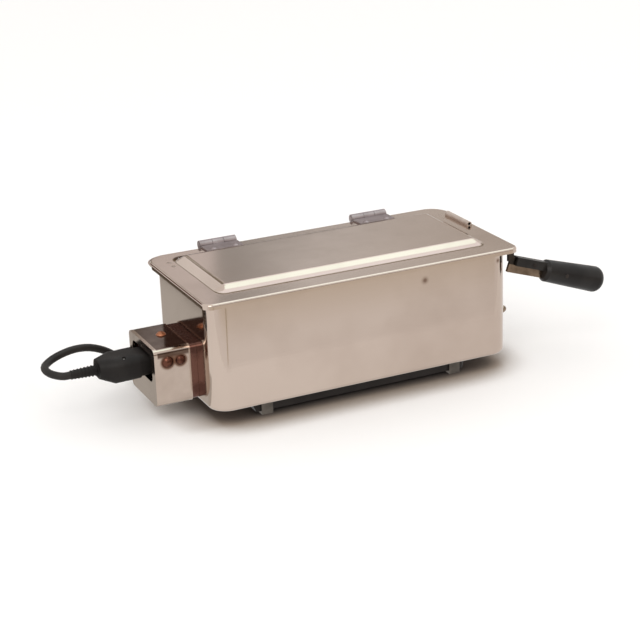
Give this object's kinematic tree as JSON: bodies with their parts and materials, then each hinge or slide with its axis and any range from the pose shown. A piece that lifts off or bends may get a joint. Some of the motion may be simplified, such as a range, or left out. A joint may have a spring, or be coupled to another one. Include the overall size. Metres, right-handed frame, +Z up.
{
  "type": "boiling instrument sterilizer",
  "caption": "Electric boiling-water instrument sterilizer: rectangular polished steel tank on a black plinth, hinged lid with side handle that lifts a perforated tray, plug-in mains lead.",
  "frame": {"origin": "on the table, under the middle of the object's box without its lead", "axes": "+X along the tank towards the handle end, +Y from the front towards the hinges, +Z up"},
  "size_m": [0.5311, 0.2879, 0.1244],
  "materials": {
    "polished_steel": "mirror polished",
    "satin_steel": "satin",
    "plinth_black": "satin paint",
    "grip_black": "moulded, satin",
    "connector_black": "moulded rubber",
    "cord_black": "extruded rubber",
    "screw_brass": "polished, tarnished",
    "brass": "machined",
    "carrier_cream": "steatite look",
    "sheath": "heat tinted"
  },
  "bodies": {
    "tank": {"tank": "polished_steel", "level_screw": "satin_steel", "dome_nut": "satin_steel", "base_plinth": "plinth_black", "feet": "satin_steel", "hinge_leaf_tank_left": "polished_steel", "hinge_leaf_tank_right": "polished_steel", "hinge_pins": "satin_steel", "hinge_rivets": "satin_steel", "guide_rods": "satin_steel", "rod_brackets": "satin_steel", "heating_element": "sheath", "element_glands": "brass", "gland_nuts": "brass", "element_studs": "satin_steel", "element_links": "brass", "link_nuts": "brass", "terminal_box_neck": "polished_steel", "terminal_box_cover": "polished_steel", "cover_screws": "screw_brass", "cover_nuts": "brass", "carrier_brackets": "satin_steel", "terminal_carrier": "carrier_cream", "carrier_screws": "satin_steel", "inlet_pins": "brass", "earth_clips": "satin_steel"},
    "lid": {"lid": "polished_steel", "lid_lug": "polished_steel", "hinge_leaf_lid_left": "polished_steel", "hinge_leaf_lid_right": "polished_steel", "lid_rivets": "satin_steel", "lift_arm_left": "satin_steel", "lift_arm_right": "satin_steel", "lift_pins": "satin_steel", "arm_rivets": "satin_steel", "handle_arm": "polished_steel", "handle_grip": "grip_black", "handle_rivets": "satin_steel"},
    "tray": {"tray": "satin_steel", "tray_hanger_left": "satin_steel", "tray_hanger_right": "satin_steel", "tray_rivets": "satin_steel"},
    "cord_set": {"connector_nose": "connector_black", "connector_grip": "connector_black", "contact_sleeves": "brass", "connector_screws": "satin_steel", "strain_relief": "connector_black", "cord_lead": "cord_black", "cord_coil": "cord_black", "cord_tie": "cord_black", "cord_tail": "cord_black", "mains_plug": "connector_black", "plug_pins": "brass", "plug_relief": "connector_black"}
  },
  "joints": [
    {"name": "lid_hinge", "type": "hinge", "parent": "tank", "child": "lid", "pos_m": [-0.03115, 0.0792, 0.1197], "axis": [-1, 0, 0], "range_deg": [0, 95]},
    {"name": "tray_lift", "type": "slide", "parent": "tank", "child": "tray", "axis": [0, 0, 1], "range_m": [0, 0.059]},
    {"name": "connector_pull", "type": "slide", "parent": "tank", "child": "cord_set", "axis": [-1, 0, 0], "range_m": [0, 0.035]}
  ],
  "couplings": [
    {"joint": "tray_lift", "follows": "lid_hinge", "m_per_rad": 0.03557}
  ]
}
